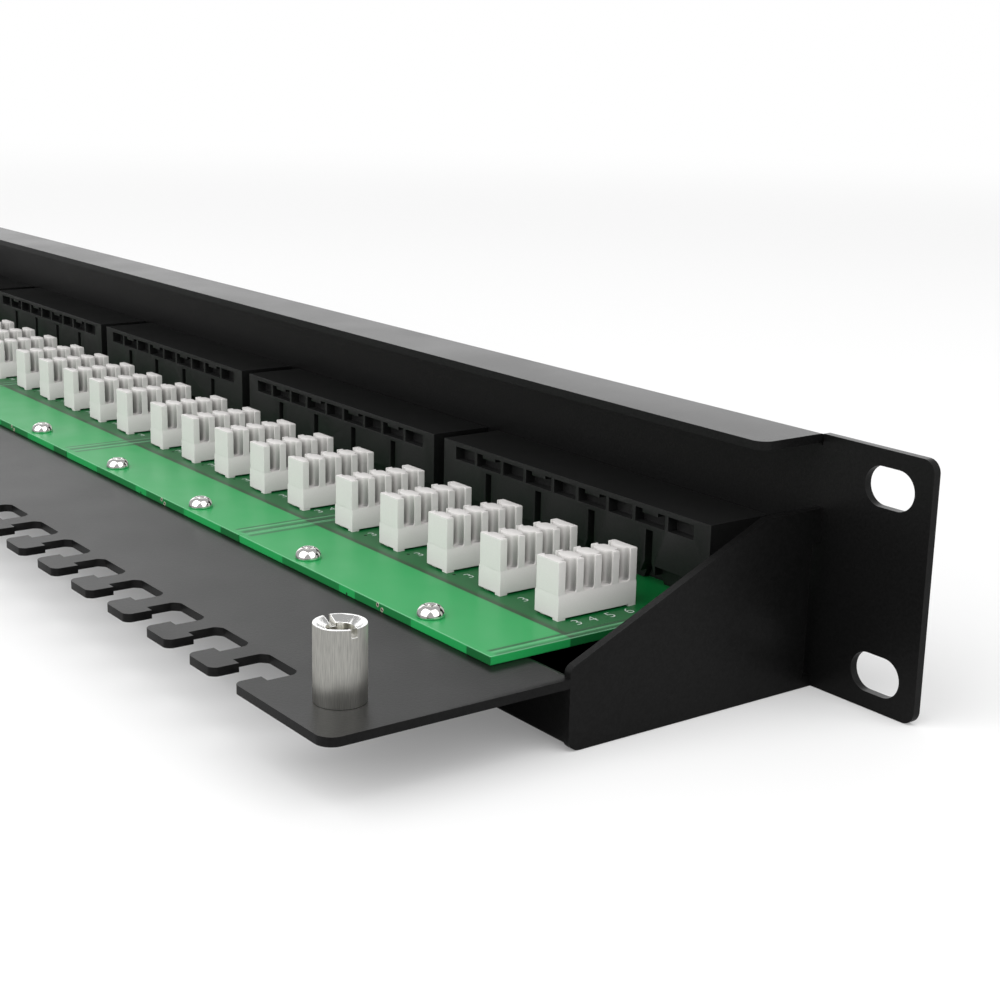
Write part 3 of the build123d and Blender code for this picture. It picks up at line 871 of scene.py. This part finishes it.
# Painted light: seen by the camera the paper is partly a white glow, an even white far off and a smaller share near
# the panel that lightens its shadows.
paper_glow = paper.node_tree.nodes.new("ShaderNodeEmission")
paper_glow.inputs["Strength"].default_value = 1.0
paper_glow_share = paper.node_tree.nodes.new("ShaderNodeMath")
paper_glow_share.operation = "MULTIPLY"
paper_place = paper.node_tree.nodes.new("ShaderNodeTexCoord")
paper_reach = paper.node_tree.nodes.new("ShaderNodeVectorMath")
paper_reach.operation = "LENGTH"
paper_glow_fade = paper.node_tree.nodes.new("ShaderNodeMapRange")
paper_glow_fade.interpolation_type = "SMOOTHSTEP"
paper_glow_fade.inputs["From Min"].default_value = 0.5
paper_glow_fade.inputs["From Max"].default_value = 1.6
paper_glow_fade.inputs["To Min"].default_value = 0.18
paper_glow_fade.inputs["To Max"].default_value = 1.0
paper.node_tree.links.new(paper_place.outputs["Object"], paper_reach.inputs[0])
paper.node_tree.links.new(paper_reach.outputs["Value"], paper_glow_fade.inputs["Value"])
paper.node_tree.links.new(paper_glow_fade.outputs["Result"], paper_glow_share.inputs[1])
paper_blend = paper.node_tree.nodes.new("ShaderNodeMixShader")
paper.node_tree.links.new(paper_ray.outputs["Is Camera Ray"], paper_glow_share.inputs[0])
paper.node_tree.links.new(paper_glow_share.outputs["Value"], paper_blend.inputs[0])
paper.node_tree.links.new(paper_shader.outputs["BSDF"], paper_blend.inputs[1])
paper.node_tree.links.new(paper_glow.outputs["Emission"], paper_blend.inputs[2])
paper.node_tree.links.new(paper_blend.outputs["Shader"], paper.node_tree.nodes["Material Output"].inputs["Surface"])
floor_mesh.materials.append(paper)

world = bpy.data.worlds.new("studio")
bpy.context.scene.world = world
world.use_nodes = True
sky = world.node_tree
soft_sky = sky.nodes["Background"]
soft_sky.inputs["Color"].default_value = (1.0, 1.0, 1.0, 1.0)
soft_sky.inputs["Strength"].default_value = 0.6
dim_sky = sky.nodes.new("ShaderNodeBackground")
dim_sky.inputs["Color"].default_value = (1.0, 1.0, 1.0, 1.0)
dim_sky.inputs["Strength"].default_value = 0.46
white_sky = sky.nodes.new("ShaderNodeBackground")
white_sky.inputs["Color"].default_value = (1.0, 1.0, 1.0, 1.0)
white_sky.inputs["Strength"].default_value = 1.0
sky_ray = sky.nodes.new("ShaderNodeLightPath")
gloss_mix = sky.nodes.new("ShaderNodeMixShader")
eye_mix = sky.nodes.new("ShaderNodeMixShader")
sky.links.new(sky_ray.outputs["Is Glossy Ray"], gloss_mix.inputs[0])
sky.links.new(soft_sky.outputs["Background"], gloss_mix.inputs[1])
sky.links.new(dim_sky.outputs["Background"], gloss_mix.inputs[2])
sky.links.new(sky_ray.outputs["Is Camera Ray"], eye_mix.inputs[0])
sky.links.new(gloss_mix.outputs["Shader"], eye_mix.inputs[1])
sky.links.new(white_sky.outputs["Background"], eye_mix.inputs[2])
sky.links.new(eye_mix.outputs["Shader"], sky.nodes["World Output"].inputs["Surface"])


def lamp(name, wide, tall, power, place, aim):
    """A soft rectangular lamp at place that looks at aim."""
    light = bpy.data.lights.new(name, "AREA")
    light.shape = "RECTANGLE"
    light.size = wide
    light.size_y = tall
    light.energy = power
    stand = bpy.data.objects.new(name, light)
    bpy.context.collection.objects.link(stand)
    stand.location = place
    stand.rotation_euler = (Vector(aim) - Vector(place)).to_track_quat("-Z", "Y").to_euler()
    stand.visible_camera = False


lamp("left lamp", 1.8, 2.1, 24.0, (-0.10, 1.20, 1.05), (-0.15, 0.03, 0.0))
lamp("right lamp", 1.5, 2.1, 14.5, (-1.30, -0.25, 1.05), (-0.15, 0.03, 0.0))
lamp("far card", 3.4, 1.2, 13.8, (1.45, -1.15, 0.62), (-0.15, 0.05, 0.0))

# The camera stands close behind the near end, as in the photograph.
lens = bpy.data.cameras.new("camera")
lens.sensor_width = 36.0
lens.lens = 61.919
lens.clip_start = 0.01
camera = bpy.data.objects.new("camera", lens)
bpy.context.collection.objects.link(camera)
camera.location = (-0.4101, 0.21066, 0.08255)
camera.rotation_euler = (math.radians(75.3814), math.radians(-1.2327), math.radians(-126.4348))
bpy.context.scene.camera = camera
bpy.context.scene.view_settings.view_transform = "Standard"
